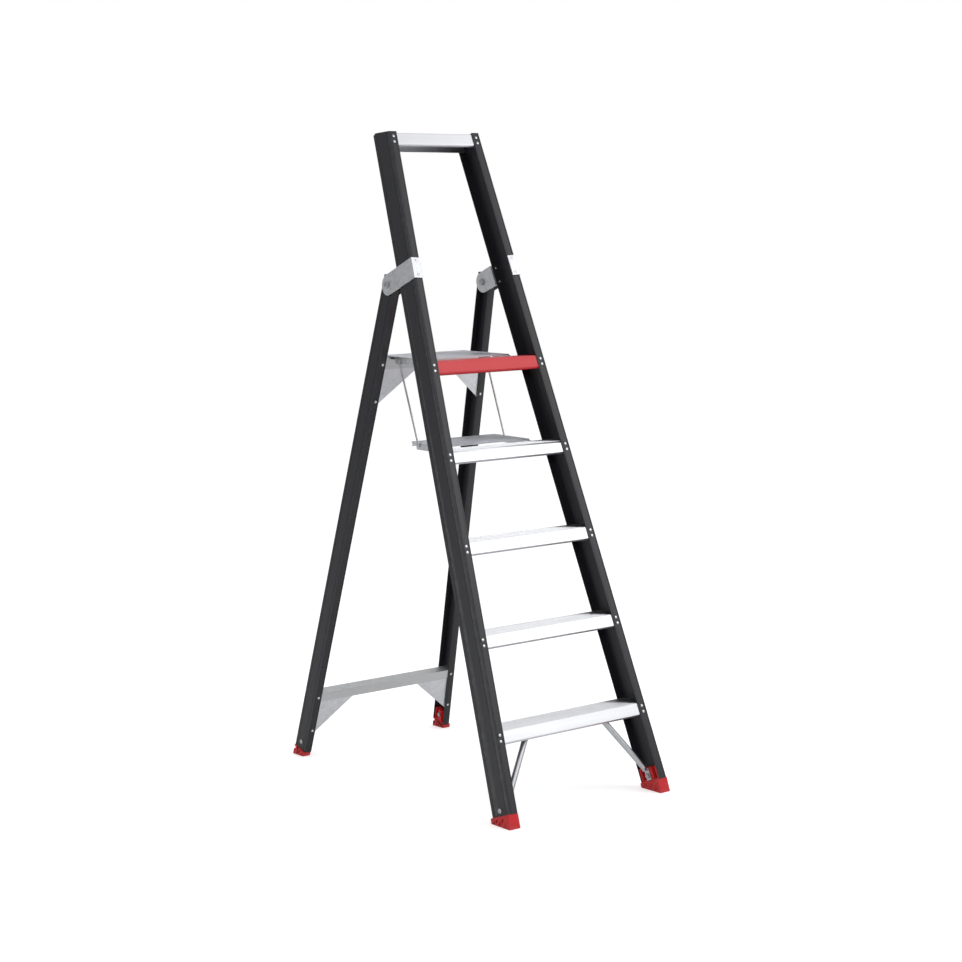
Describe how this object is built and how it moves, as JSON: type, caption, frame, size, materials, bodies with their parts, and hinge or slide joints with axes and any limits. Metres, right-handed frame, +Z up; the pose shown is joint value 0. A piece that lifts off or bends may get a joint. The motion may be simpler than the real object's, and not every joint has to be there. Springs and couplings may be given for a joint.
{
  "type": "step ladder",
  "caption": "Folding platform step ladder with a guard above the platform, braced rear legs, and a deck and flap that fold up on link rods.",
  "frame": {"origin": "middle of the footprint on the floor, midway between the front feet's toes and the rear feet's heels", "axes": "+Z up, +Y from the front feet to the rear feet, +X to the right of a person facing the treads"},
  "size_m": [0.5726, 1.1712, 1.92],
  "materials": {
    "black_coated_aluminium": "satin coated aluminium",
    "bare_aluminium": "mill finish with fine brushing",
    "red_coated_aluminium": "satin red coat",
    "red_plastic": "moulded",
    "deck_aluminium": "ribbed, brushed",
    "brace_aluminium": "satin",
    "sheet_steel": "zinc plated sheet",
    "zinc_steel": "zinc plated",
    "rivet_aluminium": "bright",
    "dark_nylon": "moulded"
  },
  "bodies": {
    "front_frame": {"front_stile_left": "black_coated_aluminium", "front_stile_right": "black_coated_aluminium", "tread_1": "bare_aluminium", "tread_2": "bare_aluminium", "tread_3": "bare_aluminium", "tread_4": "bare_aluminium", "tread_5": "red_coated_aluminium", "top_bar": "bare_aluminium", "tread_rivets": "rivet_aluminium", "hinge_plate_outer_left": "sheet_steel", "hinge_plate_outer_right": "sheet_steel", "hinge_plate_inner_left": "sheet_steel", "hinge_plate_inner_right": "sheet_steel", "hinge_plate_rivets": "rivet_aluminium", "pivot_bolts": "zinc_steel", "pivot_nuts": "zinc_steel", "front_foot_left": "red_plastic", "front_foot_right": "red_plastic", "front_foot_bolts": "zinc_steel", "front_foot_nuts": "zinc_steel", "foot_brace_left": "bare_aluminium", "foot_brace_right": "bare_aluminium", "foot_brace_rivets": "rivet_aluminium", "platform_bracket_left": "sheet_steel", "platform_bracket_right": "sheet_steel", "flap_bracket_left": "sheet_steel", "flap_bracket_right": "sheet_steel", "bracket_rivets": "rivet_aluminium", "platform_hinge_pins": "zinc_steel", "flap_hinge_pins": "zinc_steel", "pivot_washers": "dark_nylon"},
    "rear_frame": {"rear_leg_left": "black_coated_aluminium", "rear_leg_right": "black_coated_aluminium", "upper_brace": "brace_aluminium", "lower_brace": "brace_aluminium", "upper_gusset_left": "sheet_steel", "upper_gusset_right": "sheet_steel", "lower_gusset_left": "sheet_steel", "lower_gusset_right": "sheet_steel", "rear_rivets": "rivet_aluminium", "rear_foot_left": "red_plastic", "rear_foot_right": "red_plastic", "rear_foot_bolts": "zinc_steel", "leg_spacers": "dark_nylon"},
    "platform": {"platform_panel": "deck_aluminium", "platform_arm_left": "sheet_steel", "platform_arm_right": "sheet_steel", "platform_rear_lip": "sheet_steel", "platform_rivets": "rivet_aluminium"},
    "flap": {"flap_panel": "deck_aluminium", "flap_arm_left": "sheet_steel", "flap_arm_right": "sheet_steel", "flap_rear_lip": "sheet_steel", "flap_rivets": "rivet_aluminium"},
    "link_rod_left": {"link_rod_left": "zinc_steel"},
    "link_rod_right": {"link_rod_right": "zinc_steel"}
  },
  "joints": [
    {"name": "rear_frame_fold", "type": "hinge", "parent": "front_frame", "child": "rear_frame", "pos_m": [0, 0.05547, 1.4752], "axis": [-1, 0, 0], "range_deg": [0, 37]},
    {"name": "platform_fold", "type": "hinge", "parent": "front_frame", "child": "platform", "pos_m": [0, -0.06956, 1.2475], "axis": [1, 0, 0], "range_deg": [0, 68.01]},
    {"name": "flap_fold", "type": "hinge", "parent": "front_frame", "child": "flap", "pos_m": [0, -0.15398, 0.9975], "axis": [1, 0, 0], "range_deg": [0, 68.01]},
    {"name": "link_rod_left_turn", "type": "hinge", "parent": "platform", "child": "link_rod_left", "pos_m": [-0.155, 0.0593, 1.25346], "axis": [-1, 0, 0], "range_deg": [0, 68.01]},
    {"name": "link_rod_right_turn", "type": "hinge", "parent": "platform", "child": "link_rod_right", "pos_m": [0.155, 0.0593, 1.25346], "axis": [-1, 0, 0], "range_deg": [0, 68.01]}
  ],
  "couplings": [
    {"joint": "platform_fold", "follows": "rear_frame_fold", "ratio": 1.8378},
    {"joint": "flap_fold", "follows": "rear_frame_fold", "ratio": 1.8378},
    {"joint": "link_rod_left_turn", "follows": "rear_frame_fold", "ratio": 1.8378},
    {"joint": "link_rod_right_turn", "follows": "rear_frame_fold", "ratio": 1.8378}
  ]
}
